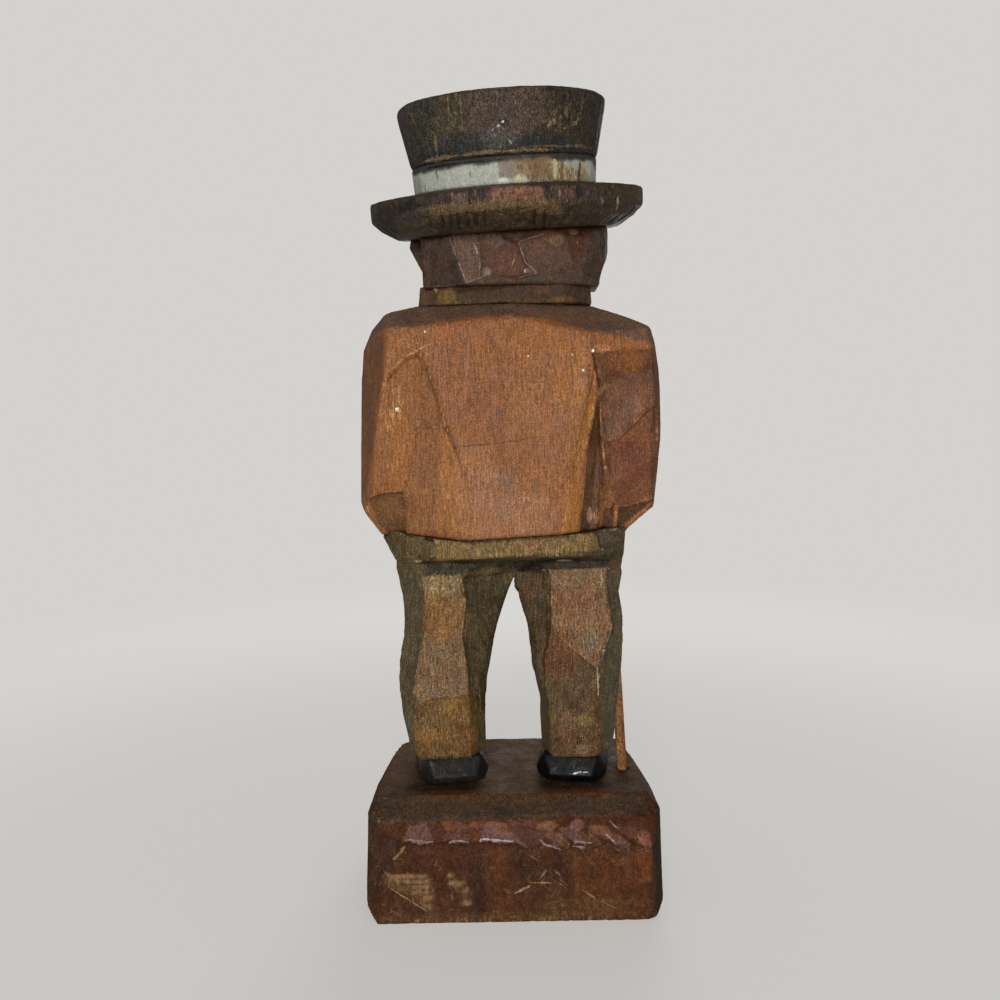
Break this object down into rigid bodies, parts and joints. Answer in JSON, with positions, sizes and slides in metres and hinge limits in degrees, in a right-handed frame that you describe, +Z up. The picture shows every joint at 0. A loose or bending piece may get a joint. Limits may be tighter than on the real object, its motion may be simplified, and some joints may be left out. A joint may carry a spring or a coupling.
{
  "type": "carved wooden figurine",
  "caption": "flat-plane carved and painted figure of an old gentleman in a flared top hat and long coat, who stands on a block base with one hand in his pocket and the other on a cane",
  "frame": {"origin": "middle of the base's flat underside", "axes": "+Z up; +Y behind the figure; +X the figure's own left"},
  "size_m": [0.0519, 0.0358, 0.1371],
  "materials": {
    "painted_coat": "worn orange-brown paint on wood",
    "painted_trousers": "worn olive-brown paint on wood",
    "painted_shoes": "glossy blue-black paint on wood",
    "painted_hat": "worn black paint on wood",
    "painted_band": "chipped white paint on wood",
    "painted_hair": "red-brown paint on wood",
    "bare_skin": "thin tint on bare wood",
    "painted_linen": "off-white paint on wood",
    "painted_waistcoat": "olive paint on wood",
    "stained_base": "dark red-brown stain, scuffed",
    "cane_wood": "yellow-brown stain on wood"
  },
  "bodies": {
    "root": {"coat": "painted_coat", "coat_collar": "painted_coat", "left_lapel": "painted_coat", "right_lapel": "painted_coat", "left_sleeve": "painted_coat", "right_sleeve": "painted_coat", "left_trouser_leg": "painted_trousers", "right_trouser_leg": "painted_trousers", "trouser_seat": "painted_trousers", "left_shoe": "painted_shoes", "right_shoe": "painted_shoes", "hat_brim": "painted_hat", "hat_crown": "painted_hat", "bow_tie": "painted_hat", "hat_band": "painted_band", "hair": "painted_hair", "head": "bare_skin", "left_ear": "bare_skin", "right_ear": "bare_skin", "left_hand": "bare_skin", "right_hand": "bare_skin", "shirt_front": "painted_linen", "waistcoat_button_1": "painted_linen", "waistcoat_button_2": "painted_linen", "waistcoat_button_3": "painted_linen", "waistcoat": "painted_waistcoat", "base": "stained_base", "cane": "cane_wood"}
  },
  "joints": []
}
